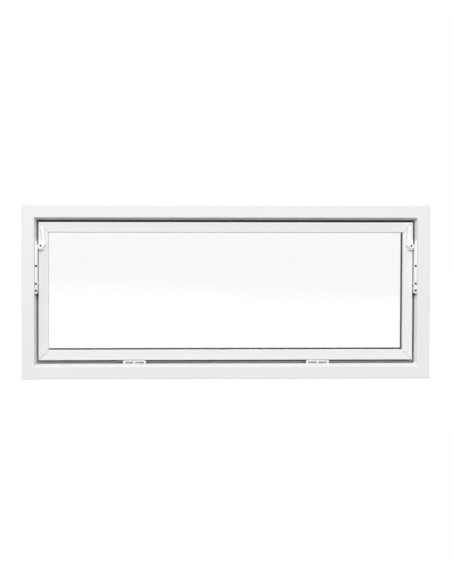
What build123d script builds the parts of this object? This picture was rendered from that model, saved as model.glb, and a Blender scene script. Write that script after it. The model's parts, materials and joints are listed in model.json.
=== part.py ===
from build123d import *
import math
import os

# A white plastic window, hung along its bottom edge, whose sash tilts towards the room.
# Millimetres. X runs to the right, Y away from the room and Z up.
# The origin is the middle of the frame's underside. Depths are counted from the frame's room face.

# Outer frame
FRAME_WIDTH = 1200.0
FRAME_HEIGHT = 510.0
FRAME_DEPTH = 70.0
FRAME_FACE = 36.5
BEVEL_RUN = 7.0
BEVEL_DEPTH = 16.0
LIP_THICKNESS = 8.0
LIP_REACH = 16.0
FRAME_WALL = 3.0
FRAME_SPLIT_DEPTH = 44.0
FRAME_EDGE_RADIUS = 1.5
FRAME_SEAL_WIDTH = 7.0
FRAME_SEAL_INSET = 4.0
FRAME_SEAL_THICKNESS = 1.7
FIXING_HOLE_RADIUS = 4.0
FIXING_HOLE_SPACING = 300.0
DRAIN_SLOT_LENGTH = 28.0
DRAIN_SLOT_HEIGHT = 5.0
DRAIN_SLOT_SPACING = 720.0
DRAIN_SLOT_RISE = 9.0

# Sash
SASH_FACE = 29.5
SASH_SIGHT_LINE = 31.0
SASH_LIP = 9.0
SASH_WALL = 2.5
SASH_SHOULDER_RADIUS = 3.5
SASH_EDGE_RADIUS = 1.2
SASH_SIDE_GAP = 5.5
SASH_TOP_GAP = 7.0
SEAL_GAP = 0.3
GLAZING_FLOOR = 14.0
WELD_GROOVE = 0.6

# Steel bars in the chambers
FRAME_STEEL_DEPTH = 25.0
FRAME_STEEL_REACH = 28.0
STEEL_WALL = 1.5
STEEL_CLEARANCE = 0.3
STEEL_END_GAP = 15.0

# Glazing
PANE_THICKNESS = 4.0
CAVITY_DEPTH = 12.0
GLASS_EDGE_GAP = 4.0
SEALANT_REACH = 5.0
FRONT_GASKET_DEPTH = 3.0
REAR_GASKET_DEPTH = 2.0
GASKET_COVER = 8.0
BEAD_NOSE = 2.0
BEAD_TOP_WIDTH = 8.0
BLOCK_LENGTH = 80.0
BLOCK_CORNER_DISTANCE = 110.0

# Hinges
HINGE_SPACING = 540.0
HINGE_LENGTH = 65.0
HINGE_AXIS_DEPTH = 15.5
KNUCKLE_RADIUS = 2.6
KNUCKLE_CLEARANCE = 3.1
KNUCKLE_TOP_GAP = 1.0
KNUCKLE_END_GAP = 0.3
FRAME_KNUCKLE = 4.0
HINGE_PIN_RADIUS = 1.6
HINGE_PIN_HEAD_RADIUS = 2.3
HINGE_PIN_HEAD = 1.5
PIN_CLEARANCE = 0.05
LEAF_THICKNESS = 2.0
LEAF_DEPTH = 22.0
LEAF_SCREW_SPACING = 40.0
LEAF_SCREW_INSET = 8.0
LEAF_SCREW_LENGTH = 8.0

# Screws
SCREW_SHANK_RADIUS = 1.75
SCREW_HEAD_RADIUS = 3.2
SCREW_HEAD_HEIGHT = 1.4
SCREW_SLOT = 0.9
SCREW_SLOT_DEPTH = 0.8
SCREW_CLEARANCE = 0.05

# Limit stays
TILT_LIMIT = 15.0
STAY_DEPTH = 10.2
STAY_PIVOT_DROP = 74.3
STUD_DROP = 105.2
STUD_RADIUS = 3.0
STUD_HEAD_RADIUS = 5.5
STUD_HEAD = 1.2
STUD_SPIGOT_RADIUS = 2.0
STUD_SPIGOT = 1.2
STAY_SIDE_GAP = 0.4
ARM_THICKNESS = 1.5
ARM_WIDTH = 15.0
ARM_GAP = 0.3
SLOT_CLEARANCE = 0.4
SLOT_STEPS = 6
PLATE_FRONT_DEPTH = 2.5
PLATE_BARE_STRIP = 1.4
PLATE_EDGE = 0.6
PLATE_ABOVE_PIVOT = 18.8
PLATE_SCREW_LENGTH = 14.0
PLATE_SCREW_INSET = 9.0
PLATE_UPPER_SCREW_RISE = 52.0
BUFFER_HEIGHT = 6.0
BUFFER_DEPTH = 8.0
BUFFER_INSET = 1.0
BUFFER_WIDTH = 5.0
BUFFER_EDGE = 1.0

# Stay brackets and pivot pins on the sash
STAY_PIN_RADIUS = 4.0
STAY_PIN_LENGTH = 12.4
STAY_PIN_NECK_RADIUS = 3.0
STAY_PIN_SHOULDER_RADIUS = 4.8
GROOVE_CLEARANCE = 0.3
BRACKET_FLANGE = 3.0
BRACKET_WIDTH = 20.5
BRACKET_HEIGHT = 27.0
BRACKET_BELOW_PIN = 6.5
BRACKET_CORNER_RADIUS = 2.0
BRACKET_TOP_WALL = 3.0
BRACKET_SCREW_LENGTH = 7.0
BRACKET_SCREW_EDGE = 4.4

# Cranked levers
HUB_INSET = 6.2
HUB_RISE = 5.5
HUB_RADIUS = 8.0
HUB_THICKNESS = 4.5
HUB_SOCKET_RADIUS = 3.5
HUB_SOCKET_DEPTH = 2.0
SPINDLE_RADIUS = 3.0
SPINDLE_END_GAP = 1.0
SPINDLE_FLAT = 1.2
SPINDLE_KEY = 3.0
SPINDLE_KEY_DEPTH = 2.5
LEVER_THICKNESS = 3.5
LEVER_WIDTH = 8.8
LEVER_ELBOW_WIDTH = 9.2
LEVER_ELBOW_REACH = 10.5
LEVER_ELBOW_RISE = 5.5
LEVER_LENGTH = 48.9
LEVER_LEAN = 5.5
LEVER_EDGE = 0.6
LEVER_FRONT_GAP = 0.5

# Places that follow from the sizes above
REBATE = FRAME_FACE + BEVEL_RUN
SASH_HALF_WIDTH = FRAME_WIDTH / 2 - REBATE - SASH_SIDE_GAP
SASH_BOTTOM = REBATE + LEAF_THICKNESS + 2 * KNUCKLE_RADIUS + KNUCKLE_CLEARANCE
SASH_TOP = FRAME_HEIGHT - REBATE - SASH_TOP_GAP
SASH_HEIGHT = SASH_TOP - SASH_BOTTOM
SASH_FRONT_DEPTH = BEVEL_DEPTH
SASH_BACK_DEPTH = FRAME_DEPTH - LIP_THICKNESS - FRAME_SEAL_THICKNESS - SEAL_GAP
GASKET_DEPTH = SASH_FRONT_DEPTH + SASH_LIP
GLASS_DEPTH = GASKET_DEPTH + FRONT_GASKET_DEPTH
CAVITY_START_DEPTH = GLASS_DEPTH + PANE_THICKNESS
OUTER_PANE_DEPTH = CAVITY_START_DEPTH + CAVITY_DEPTH
REAR_GASKET_START_DEPTH = OUTER_PANE_DEPTH + PANE_THICKNESS
BEAD_DEPTH = REAR_GASKET_START_DEPTH + REAR_GASKET_DEPTH
GLASS_EDGE = GLAZING_FLOOR + GLASS_EDGE_GAP
HINGE_AXIS_HEIGHT = SASH_BOTTOM - KNUCKLE_RADIUS - KNUCKLE_TOP_GAP
PIVOT_HEIGHT = SASH_TOP - STAY_PIVOT_DROP
STUD_HEIGHT = PIVOT_HEIGHT - STUD_DROP
STUD_HEAD_SIDE = SASH_HALF_WIDTH + STAY_SIDE_GAP
ARM_SIDE = STUD_HEAD_SIDE + STUD_HEAD + ARM_GAP
ARM_OUTER_SIDE = ARM_SIDE + ARM_THICKNESS
HUB_SIDE = SASH_HALF_WIDTH - HUB_INSET
HUB_LEVEL = PIVOT_HEIGHT + HUB_RISE
LEVER_BACK_DEPTH = LEVER_FRONT_GAP + HUB_THICKNESS
BRACKET_FRONT_DEPTH = LEVER_BACK_DEPTH + ARM_GAP


def depth(from_face):
    """Y of a depth counted from the frame's room face."""
    return from_face - FRAME_DEPTH / 2


def facing_plane(from_face):
    """Plane that faces the room at a depth, with X to the right and Z up."""
    return Plane.XZ.offset(-depth(from_face))


def polygon(*points):
    """Flat face with straight sides through the points."""
    return make_face(Polyline(*points, close=True))


def block(x_span, depth_span, z_span):
    """Box between two limits on each axis, with depths counted from the room face."""
    size = [high - low for low, high in (x_span, depth_span, z_span)]
    middle = [(low + high) / 2 for low, high in (x_span, depth_span, z_span)]
    return Pos(middle[0], depth(middle[1]), middle[2]) * Box(*size)


def round_bar(radius, x_span, at_depth, at_height):
    """Round bar along X between two limits."""
    middle = sum(x_span) / 2
    return Pos(middle, depth(at_depth), at_height) * Rot(0, 90, 0) * Cylinder(radius, x_span[1] - x_span[0])


def four_sides(width, height, base):
    """Places that put a length made for the bottom edge on each side of a rectangle."""
    middle = base + height / 2
    return {
        "bottom": Pos(0, 0, base),
        "top": Pos(0, 0, base + height) * Rot(0, 180, 0),
        "left": Pos(-width / 2, 0, middle) * Rot(0, 90, 0),
        "right": Pos(width / 2, 0, middle) * Rot(0, -90, 0),
    }


def side_length(side, width, height):
    """Length of the piece on one side of a rectangle."""
    return width if side in ("bottom", "top") else height


def mitred_length(section, length, reach):
    """Section run along X and cut to a mitre at both ends."""
    bar = extrude(Plane.YZ * section, amount=length / 2, both=True)
    half = length / 2
    outline = polygon((-half, 0), (half, 0), (half - reach, reach), (reach - half, reach))
    return bar & extrude(Plane.XZ * outline, amount=FRAME_DEPTH, both=True)


def square_length(section, length):
    """Section run along X with square ends."""
    return extrude(Plane.YZ * section, amount=length / 2, both=True)


def ring(outer_inset, inner_inset, depth_span):
    """Rectangular ring that follows the sash, with insets counted from the sash's outer edge."""
    solids = []
    for inset in (outer_inset, inner_inset):
        side = SASH_HALF_WIDTH - inset
        solids.append(block((-side, side), depth_span, (SASH_BOTTOM + inset, SASH_TOP - inset)))
    return solids[0] - solids[1]


def screw(length):
    """Pan-head screw that points down, with the seat of its head at the origin."""
    head = Pos(0, 0, SCREW_HEAD_HEIGHT / 2) * Cylinder(SCREW_HEAD_RADIUS, SCREW_HEAD_HEIGHT)
    head = fillet(head.edges().group_by(Axis.Z)[-1], SCREW_HEAD_HEIGHT * 0.6)
    recess_place = Pos(0, 0, SCREW_HEAD_HEIGHT - SCREW_SLOT_DEPTH / 2)
    slot = Box(SCREW_HEAD_RADIUS, SCREW_SLOT, SCREW_SLOT_DEPTH)
    recess = slot + Rot(0, 0, 90) * slot
    shank = Pos(0, 0, -length / 2) * Cylinder(SCREW_SHANK_RADIUS, length)
    return head + shank - recess_place * recess


def screw_hole(length):
    """Clearance for a screw's shank, from just above its seat to just past its tip."""
    whole = length + 2 * SCREW_HEAD_HEIGHT
    return Pos(0, 0, -length / 2) * Cylinder(SCREW_SHANK_RADIUS + SCREW_CLEARANCE, whole)


def without(solid, cutters):
    """Solid with a list of shapes cut away."""
    for cutter in cutters:
        solid = solid - cutter
    return solid


def mirrored(solid):
    """The same piece for the left side."""
    return mirror(solid, Plane.YZ)


# Sections, with the depth first and the reach from the outer edge second

def frame_section():
    """Frame length: sloped lead-in, rebate and rear lip, with two chambers."""
    front, seat, back = depth(0), depth(BEVEL_DEPTH), depth(FRAME_DEPTH)
    lip = depth(FRAME_DEPTH - LIP_THICKNESS)
    split = depth(FRAME_SPLIT_DEPTH)
    lip_edge = REBATE + LIP_REACH
    face_points = ((front, 0), (front, FRAME_FACE), (seat, REBATE))
    outline = polygon(*face_points, (lip, REBATE), (lip, lip_edge), (back, lip_edge), (back, 0))
    outline = fillet(outline.vertices().group_by(Axis.X)[0], FRAME_EDGE_RADIUS)
    front_part = polygon(*face_points, (split, REBATE), (split, 0))
    rear_part = polygon((split - FRAME_WALL, 0), (split - FRAME_WALL, REBATE), (back, REBATE), (back, 0))
    for part in (front_part, rear_part):
        outline -= offset(part, amount=-FRAME_WALL, kind=Kind.INTERSECTION)
    return outline


def sash_section():
    """Sash length: rounded shoulder, sloped glazing lip and glazing floor, with two chambers."""
    front, back = depth(SASH_FRONT_DEPTH), depth(SASH_BACK_DEPTH)
    lip = depth(GASKET_DEPTH)
    rear_points = ((back, GLAZING_FLOOR), (back, 0))
    lip_points = ((lip, SASH_SIGHT_LINE), (lip, GLAZING_FLOOR))
    outline = polygon((front, 0), (front, SASH_FACE), *lip_points, *rear_points)
    corners = outline.vertices().group_by(Axis.X)[0].sort_by(Axis.Y)
    outline = fillet(corners[0], SASH_SHOULDER_RADIUS)
    inner_corner = outline.vertices().group_by(Axis.X)[0].sort_by(Axis.Y)[-1]
    outline = fillet(inner_corner, SASH_EDGE_RADIUS)
    shoulder = SASH_SHOULDER_RADIUS
    lip_part = polygon((front, shoulder), (front, SASH_FACE), (lip, SASH_SIGHT_LINE), (lip, shoulder))
    rear_part = polygon((lip - SASH_WALL, 0), (lip - SASH_WALL, GLAZING_FLOOR), *rear_points)
    for part in (lip_part, rear_part):
        outline -= offset(part, amount=-SASH_WALL, kind=Kind.INTERSECTION)
    return outline


def tube_section(depth_span, reach_span):
    """Rectangular steel tube."""
    (front, back), (low, high) = depth_span, reach_span
    outer = polygon((depth(front), low), (depth(front), high), (depth(back), high), (depth(back), low))
    return outer - offset(outer, amount=-STEEL_WALL, kind=Kind.INTERSECTION)


def bead_section():
    """Glazing bead: upright behind the glass, sloped towards the outside."""
    front, back = depth(BEAD_DEPTH), depth(SASH_BACK_DEPTH)
    return polygon(
        (front, GLAZING_FLOOR),
        (front, SASH_SIGHT_LINE),
        (front + BEAD_NOSE, SASH_SIGHT_LINE),
        (back, GLAZING_FLOOR + BEAD_TOP_WIDTH),
        (back, GLAZING_FLOOR),
    )


# Hinges along the bottom edge

def hinge_pieces(center):
    """Both leaves and the pin of one hinge, and the places of its screws."""
    half = HINGE_LENGTH / 2
    span = (center - half, center + half)
    knuckle_half = FRAME_KNUCKLE / 2
    frame_knuckles = [(at - knuckle_half, at + knuckle_half) for at in (span[0] + knuckle_half, center)]
    frame_knuckles.append((span[1] - FRAME_KNUCKLE, span[1]))
    sash_knuckles = []
    for before, after in zip(frame_knuckles, frame_knuckles[1:]):
        sash_knuckles.append((before[1] + KNUCKLE_END_GAP, after[0] - KNUCKLE_END_GAP))
    axis = (HINGE_AXIS_DEPTH, HINGE_AXIS_HEIGHT)
    leaf_start = HINGE_AXIS_DEPTH + KNUCKLE_RADIUS + KNUCKLE_CLEARANCE
    leaf_end = BEVEL_DEPTH + LEAF_DEPTH
    bore = round_bar(HINGE_PIN_RADIUS + PIN_CLEARANCE, span, *axis)
    frame_leaf = block(span, (leaf_start, leaf_end), (REBATE, REBATE + LEAF_THICKNESS))
    for along in frame_knuckles:
        neck_span = (HINGE_AXIS_DEPTH - KNUCKLE_RADIUS, HINGE_AXIS_DEPTH + KNUCKLE_RADIUS)
        frame_leaf += block(along, neck_span, (REBATE, HINGE_AXIS_HEIGHT))
        frame_leaf += block(along, (HINGE_AXIS_DEPTH, leaf_start), (REBATE, REBATE + LEAF_THICKNESS))
        frame_leaf += round_bar(KNUCKLE_RADIUS, along, *axis)
    sash_span = (sash_knuckles[0][0], sash_knuckles[-1][1])
    sash_leaf = block(sash_span, (leaf_start, leaf_end), (SASH_BOTTOM - LEAF_THICKNESS, SASH_BOTTOM))
    for along in sash_knuckles:
        sash_leaf += block(along, (HINGE_AXIS_DEPTH, leaf_start), (SASH_BOTTOM - LEAF_THICKNESS, SASH_BOTTOM))
        sash_leaf += round_bar(KNUCKLE_RADIUS, along, *axis)
    pin = round_bar(HINGE_PIN_RADIUS, span, *axis)
    for low in (span[0] - HINGE_PIN_HEAD, span[1]):
        pin += round_bar(HINGE_PIN_HEAD_RADIUS, (low, low + HINGE_PIN_HEAD), *axis)
    screw_depth = depth(leaf_end - LEAF_SCREW_INSET)
    frame_seats, sash_seats = [], []
    for along in (center - LEAF_SCREW_SPACING / 2, center + LEAF_SCREW_SPACING / 2):
        frame_seats.append(Pos(along, screw_depth, REBATE + LEAF_THICKNESS))
        sash_seats.append(Pos(along, screw_depth, SASH_BOTTOM - LEAF_THICKNESS) * Rot(180, 0, 0))
    hole = screw_hole(LEAF_SCREW_LENGTH)
    frame_leaf = without(frame_leaf - bore, [seat * hole for seat in frame_seats])
    sash_leaf = without(sash_leaf - bore, [seat * hole for seat in sash_seats])
    return frame_leaf, sash_leaf, pin, frame_seats, sash_seats


# Limit stay on the right-hand side; the left one is its mirror image

def bevel_side(at_depth):
    """X of the right jamb's sloped reveal at a depth."""
    return FRAME_WIDTH / 2 - FRAME_FACE - BEVEL_RUN * at_depth / BEVEL_DEPTH


def bevel_depth(at_side):
    """Depth of the right jamb's sloped reveal at an X."""
    return BEVEL_DEPTH * (FRAME_WIDTH / 2 - FRAME_FACE - at_side) / BEVEL_RUN


def plate_side():
    """Inner side of the stay plate, which clears the arm."""
    return ARM_OUTER_SIDE + ARM_GAP


def plate_outer_side():
    """Outer side of the stay plate, which leaves a strip of the reveal bare."""
    return bevel_side(PLATE_FRONT_DEPTH) - PLATE_BARE_STRIP


def plate_low():
    """Lower end of the stay plate, just below the arm's lower end."""
    return stud_in_arm(TILT_LIMIT)[1] - ARM_WIDTH / 2 - ARM_GAP


def stay_plate():
    """Wedge-shaped bar on the reveal that carries the slide stud, and the places of its screws."""
    low, high = plate_low(), PIVOT_HEIGHT + PLATE_ABOVE_PIVOT
    side, outer_side = plate_side(), plate_outer_side()
    front, seat = depth(PLATE_FRONT_DEPTH), depth(BEVEL_DEPTH)
    section = polygon(
        (side, front),
        (outer_side, front),
        (outer_side, depth(bevel_depth(outer_side))),
        (bevel_side(BEVEL_DEPTH), seat),
        (side, seat),
    )
    plate = extrude(Plane.XY.offset(low) * section, amount=high - low)
    plate = chamfer(plate.edges().filter_by(Axis.Z).sort_by(Axis.Y)[:2].sort_by(Axis.X)[0], PLATE_EDGE)
    bore = round_bar(STUD_SPIGOT_RADIUS, (side, side + STUD_SPIGOT), STAY_DEPTH, STUD_HEIGHT)
    middle = (side + outer_side) / 2
    heights = (low + PLATE_SCREW_INSET, STUD_HEIGHT, STUD_HEIGHT + PLATE_UPPER_SCREW_RISE)
    seats = [facing_plane(PLATE_FRONT_DEPTH).location * Pos(middle, height) for height in heights]
    hole = screw_hole(PLATE_SCREW_LENGTH)
    return without(plate - bore, [seat * hole for seat in seats]), seats


def stay_buffer():
    """Rubber buffer under the plate and the arm, on which the resting arm cannot rattle."""
    low = STUD_HEAD_SIDE + BUFFER_INSET
    start = PLATE_FRONT_DEPTH + BUFFER_INSET
    top = plate_low()
    solid = block((low, low + BUFFER_WIDTH), (start, start + BUFFER_DEPTH), (top - BUFFER_HEIGHT, top))
    return fillet(solid.edges().filter_by(Axis.Y).group_by(Axis.Z)[0], BUFFER_EDGE)


def slide_stud():
    """Headed stud in the plate's boss, on which the stay arm slides."""
    boss_side = plate_side()
    at = (STAY_DEPTH, STUD_HEIGHT)
    head = round_bar(STUD_HEAD_RADIUS, (STUD_HEAD_SIDE, STUD_HEAD_SIDE + STUD_HEAD), *at)
    shank = round_bar(STUD_RADIUS, (STUD_HEAD_SIDE + STUD_HEAD, boss_side), *at)
    spigot = round_bar(STUD_SPIGOT_RADIUS, (boss_side, boss_side + STUD_SPIGOT), *at)
    return head + shank + spigot


def tilted_pivot(angle):
    """Depth and height of the stay's pivot when the sash is tilted by an angle in degrees."""
    arm_depth, arm_height = STAY_DEPTH - HINGE_AXIS_DEPTH, PIVOT_HEIGHT - HINGE_AXIS_HEIGHT
    cosine, sine = math.cos(math.radians(angle)), math.sin(math.radians(angle))
    return (
        HINGE_AXIS_DEPTH + arm_depth * cosine - arm_height * sine,
        HINGE_AXIS_HEIGHT + arm_depth * sine + arm_height * cosine,
    )


def arm_turn():
    """Turn of the stay arm, in degrees, while the sash tilts to its limit."""
    pivot_depth, pivot_height = tilted_pivot(TILT_LIMIT)
    return math.degrees(math.atan2(STAY_DEPTH - pivot_depth, pivot_height - STUD_HEIGHT))


def stud_in_arm(angle):
    """Place of the fixed stud in the resting arm when the sash is tilted by an angle in degrees."""
    pivot_depth, pivot_height = tilted_pivot(angle)
    back = -math.radians(arm_turn() * angle / TILT_LIMIT)
    across, down = STAY_DEPTH - pivot_depth, STUD_HEIGHT - pivot_height
    return (
        depth(STAY_DEPTH) + across * math.cos(back) - down * math.sin(back),
        PIVOT_HEIGHT + across * math.sin(back) + down * math.cos(back),
    )


def stay_arm():
    """Slotted arm, upright beside the sash; its slot follows the fixed stud as the sash tilts."""
    stud_places = [stud_in_arm(TILT_LIMIT * step / SLOT_STEPS) for step in range(SLOT_STEPS + 1)]
    slot_radius = STUD_RADIUS + SLOT_CLEARANCE
    slot = trace(Spline(*stud_places), 2 * slot_radius)
    for end in (stud_places[0], stud_places[-1]):
        slot += Pos(*end) * Circle(slot_radius)
    pivot = (depth(STAY_DEPTH), PIVOT_HEIGHT)
    discs = [Pos(*place) * Circle(ARM_WIDTH / 2) for place in [pivot] + stud_places]
    outline = make_hull([edge for disc in discs for edge in disc.edges()])
    neck = Pos(*pivot) * Circle(STAY_PIN_NECK_RADIUS)
    return extrude(Plane.YZ.offset(ARM_SIDE) * (outline - slot - neck), amount=ARM_THICKNESS)


def bracket_side():
    """Outer side of the stay bracket, just inside the sash's edge."""
    return SASH_HALF_WIDTH - STAY_SIDE_GAP


def stay_pin():
    """Pivot pin riveted in the arm, with the groove that the lever's spindle holds."""
    at = (STAY_DEPTH, PIVOT_HEIGHT)
    side = bracket_side()
    core_radius = HUB_RISE - SPINDLE_RADIUS - GROOVE_CLEARANCE
    groove_half = SPINDLE_RADIUS + GROOVE_CLEARANCE
    groove_span = (HUB_SIDE - groove_half, HUB_SIDE + groove_half)
    body = round_bar(STAY_PIN_RADIUS, (side - STAY_PIN_LENGTH, side + ARM_GAP), *at)
    groove = round_bar(2 * STAY_PIN_RADIUS, groove_span, *at) - round_bar(core_radius, groove_span, *at)
    shoulder = round_bar(STAY_PIN_SHOULDER_RADIUS, (side + ARM_GAP, ARM_SIDE), *at)
    neck = round_bar(STAY_PIN_NECK_RADIUS, (ARM_SIDE, ARM_OUTER_SIDE), *at)
    return body - groove + shoulder + neck


def stay_bracket():
    """Bracket on the sash's face that holds the pivot pin and the lever's spindle, and its screws' places."""
    side = bracket_side()
    low = PIVOT_HEIGHT - BRACKET_BELOW_PIN
    outline = RectangleRounded(BRACKET_WIDTH, BRACKET_HEIGHT, BRACKET_CORNER_RADIUS)
    place = Pos(side - BRACKET_WIDTH / 2, low + BRACKET_HEIGHT / 2)
    flange = extrude(facing_plane(SASH_FRONT_DEPTH) * place * outline, amount=BRACKET_FLANGE)
    block_top = HUB_LEVEL + SPINDLE_RADIUS + BRACKET_TOP_WALL
    pin_end = side - STAY_PIN_LENGTH - PIN_CLEARANCE
    body = block((pin_end, side), (BRACKET_FRONT_DEPTH, SASH_FRONT_DEPTH), (low, block_top))
    pin_bore = round_bar(STAY_PIN_RADIUS + PIN_CLEARANCE, (pin_end, side), STAY_DEPTH, PIVOT_HEIGHT)
    spindle_bore = extrude(
        facing_plane(SASH_FRONT_DEPTH) * Pos(HUB_SIDE, HUB_LEVEL) * Circle(SPINDLE_RADIUS + PIN_CLEARANCE),
        amount=SASH_FRONT_DEPTH - BRACKET_FRONT_DEPTH,
    )
    screw_places = (
        (side - BRACKET_WIDTH + BRACKET_SCREW_EDGE, low + BRACKET_SCREW_EDGE),
        (side - BRACKET_WIDTH / 2, low + BRACKET_HEIGHT - BRACKET_SCREW_EDGE),
    )
    seats = [facing_plane(SASH_FRONT_DEPTH - BRACKET_FLANGE).location * Pos(*place) for place in screw_places]
    hole = screw_hole(BRACKET_SCREW_LENGTH)
    return without(flange + body - pin_bore - spindle_bore, [seat * hole for seat in seats]), seats


def crank_lever():
    """Cranked lever: hub, short web to the elbow and a bar that rises beside the sash's stile."""
    hub = Pos(HUB_SIDE, HUB_LEVEL)
    elbow = Pos(HUB_SIDE - LEVER_ELBOW_REACH, HUB_LEVEL + LEVER_ELBOW_RISE)
    tip = elbow * Pos(LEVER_LEAN, LEVER_LENGTH)
    hub_disc = hub * Circle(HUB_RADIUS)
    elbow_disc, tip_disc = elbow * Circle(LEVER_ELBOW_WIDTH / 2), tip * Circle(LEVER_WIDTH / 2)
    web = make_hull(hub_disc.edges() + elbow_disc.edges())
    outline = web + make_hull(elbow_disc.edges() + tip_disc.edges())
    back = facing_plane(LEVER_BACK_DEPTH)
    bar = extrude(back * outline, amount=LEVER_THICKNESS)
    bar = chamfer(bar.faces().sort_by(Axis.Y)[0].outer_wire().edges(), LEVER_EDGE)
    bar += extrude(back * hub_disc, amount=HUB_THICKNESS)
    front = facing_plane(LEVER_FRONT_GAP + HUB_SOCKET_DEPTH)
    bar -= extrude(front * hub * Circle(HUB_SOCKET_RADIUS), amount=HUB_SOCKET_DEPTH)
    return bar - extrude(back * hub * Circle(SPINDLE_RADIUS), amount=HUB_THICKNESS)


def crank_spindle():
    """Spindle pressed into the lever, with the flat that clears the pivot pin once the lever is turned."""
    place = Pos(HUB_SIDE, HUB_LEVEL)
    front_depth = LEVER_FRONT_GAP + HUB_SOCKET_DEPTH
    back_depth = SASH_FRONT_DEPTH - SPINDLE_END_GAP
    rod = extrude(facing_plane(back_depth) * place * Circle(SPINDLE_RADIUS), amount=back_depth - front_depth)
    flat_side = (HUB_SIDE - 2 * SPINDLE_RADIUS, HUB_SIDE - SPINDLE_FLAT)
    groove_depths = (STAY_DEPTH - STAY_PIN_RADIUS, STAY_DEPTH + STAY_PIN_RADIUS)
    heights = (HUB_LEVEL - SPINDLE_RADIUS, HUB_LEVEL + SPINDLE_RADIUS)
    key = RegularPolygon(SPINDLE_KEY / 2, 6, major_radius=False)
    key_floor = facing_plane(front_depth + SPINDLE_KEY_DEPTH)
    key_socket = extrude(key_floor * place * key, amount=SPINDLE_KEY_DEPTH)
    return rod - block(flat_side, groove_depths, heights) - key_socket


def setting_blocks():
    """Packers between the glass edge and the glazing floor: two under, two over and one on each side."""
    span = (GLASS_DEPTH, REAR_GASKET_START_DEPTH)
    near = SASH_HALF_WIDTH - BLOCK_CORNER_DISTANCE
    heights = (
        (SASH_BOTTOM + GLAZING_FLOOR, SASH_BOTTOM + GLASS_EDGE),
        (SASH_TOP - GLASS_EDGE, SASH_TOP - GLAZING_FLOOR),
    )
    solids = []
    for center in (-near, near):
        for height in heights:
            solids.append(block((center - BLOCK_LENGTH / 2, center + BLOCK_LENGTH / 2), span, height))
    middle = (SASH_BOTTOM + SASH_TOP) / 2
    upright = (middle - BLOCK_LENGTH / 2, middle + BLOCK_LENGTH / 2)
    right = block((SASH_HALF_WIDTH - GLASS_EDGE, SASH_HALF_WIDTH - GLAZING_FLOOR), span, upright)
    return solids + [right, mirrored(right)]


def pane(start_depth):
    """One pane of the insulating glass."""
    side = SASH_HALF_WIDTH - GLASS_EDGE
    heights = (SASH_BOTTOM + GLASS_EDGE, SASH_TOP - GLASS_EDGE)
    return block((-side, side), (start_depth, start_depth + PANE_THICKNESS), heights)


def weld_grooves():
    """Shallow grooves along the four welded corners on the sash's face."""
    reach = SASH_SIGHT_LINE * math.sqrt(2)
    width = WELD_GROOVE * math.sqrt(2)
    bar = Rot(45, 0, 0) * Box(2 * reach, width, width)
    cutters = []
    for along in (-1, 1):
        for height, turn in ((SASH_BOTTOM, along), (SASH_TOP, -along)):
            place = Pos(along * SASH_HALF_WIDTH, depth(SASH_FRONT_DEPTH), height)
            cutters.append(place * Rot(0, 45 * turn, 0) * bar)
    return cutters


def frame_seal():
    """Rubber ring on the rear lip, just behind the closed sash."""
    end = FRAME_DEPTH - LIP_THICKNESS
    start = end - FRAME_SEAL_THICKNESS
    solids = []
    for inset in (REBATE + FRAME_SEAL_INSET, REBATE + FRAME_SEAL_INSET + FRAME_SEAL_WIDTH):
        side = FRAME_WIDTH / 2 - inset
        solids.append(block((-side, side), (start, end), (inset, FRAME_HEIGHT - inset)))
    return solids[0] - solids[1]


def fixing_holes():
    """Holes through both jambs, behind the closed sash, for the screws into the wall."""
    rear_chamber_middle = (FRAME_SPLIT_DEPTH + FRAME_DEPTH - FRAME_WALL) / 2
    half = FRAME_WIDTH / 2
    heights = [FRAME_HEIGHT / 2 + sign * FIXING_HOLE_SPACING / 2 for sign in (-1, 1)]
    return [round_bar(FIXING_HOLE_RADIUS, (-half, half), rear_chamber_middle, height) for height in heights]


def drain_slots():
    """Slots through the sill's outer wall, which let water out of the rear chamber."""
    outline = facing_plane(FRAME_DEPTH) * SlotOverall(DRAIN_SLOT_LENGTH, DRAIN_SLOT_HEIGHT)
    slot = extrude(outline, amount=2 * FRAME_WALL)
    half = DRAIN_SLOT_SPACING / 2
    return [Pos(along, 0, DRAIN_SLOT_RISE) * slot for along in (-half, half)]


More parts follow.
